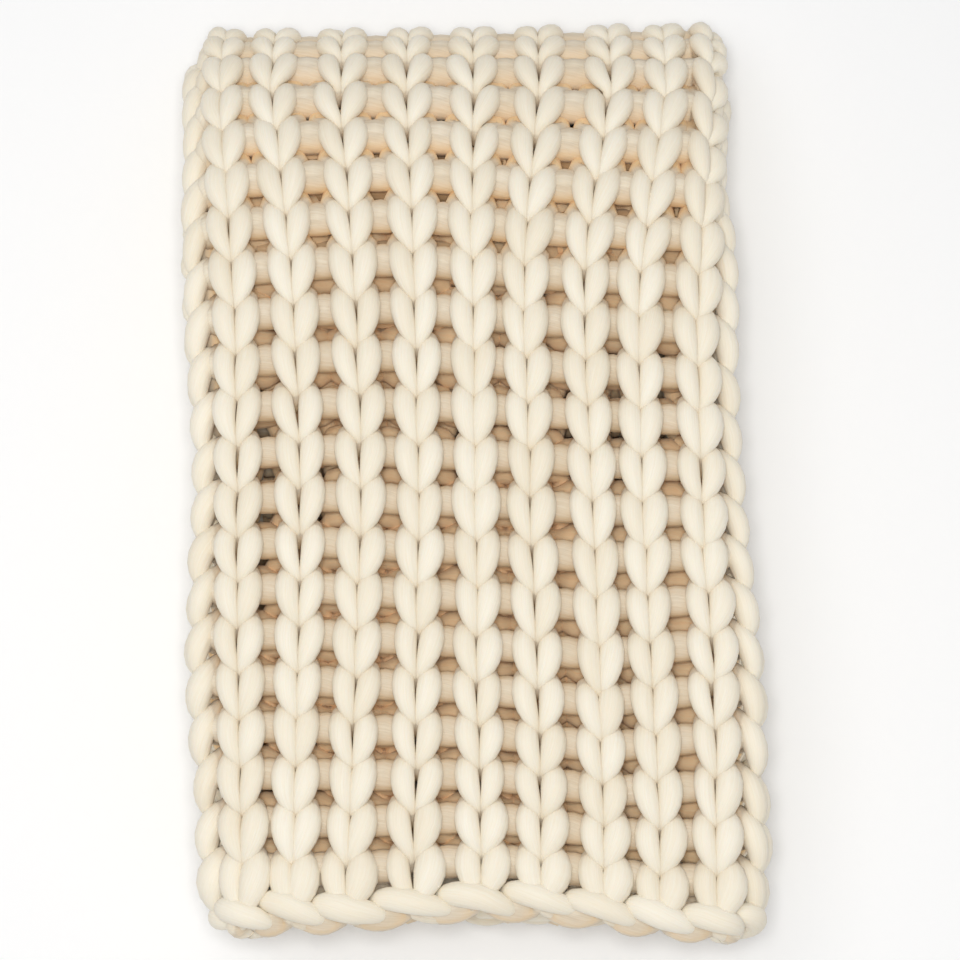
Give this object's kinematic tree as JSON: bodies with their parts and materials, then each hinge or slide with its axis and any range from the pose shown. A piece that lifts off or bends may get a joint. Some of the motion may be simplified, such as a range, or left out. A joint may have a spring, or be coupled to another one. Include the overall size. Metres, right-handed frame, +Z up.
{
  "type": "folded chunky knit blanket",
  "caption": "Cream chunky stockinette throw with big V stitches, sides folded to the middle, then folded in half into a soft pile with a chain edge.",
  "frame": {"origin": "middle of the underside's box, on the surface that the pile lies on", "axes": "+Z up, +Y along the wales from the chain edge to the far fold, +X across the wales to the right"},
  "size_m": [0.4492, 0.7288, 0.147],
  "materials": {
    "wool": "matte, soft undyed merino roving"
  },
  "bodies": {
    "root": {"blanket": "wool"}
  },
  "joints": []
}
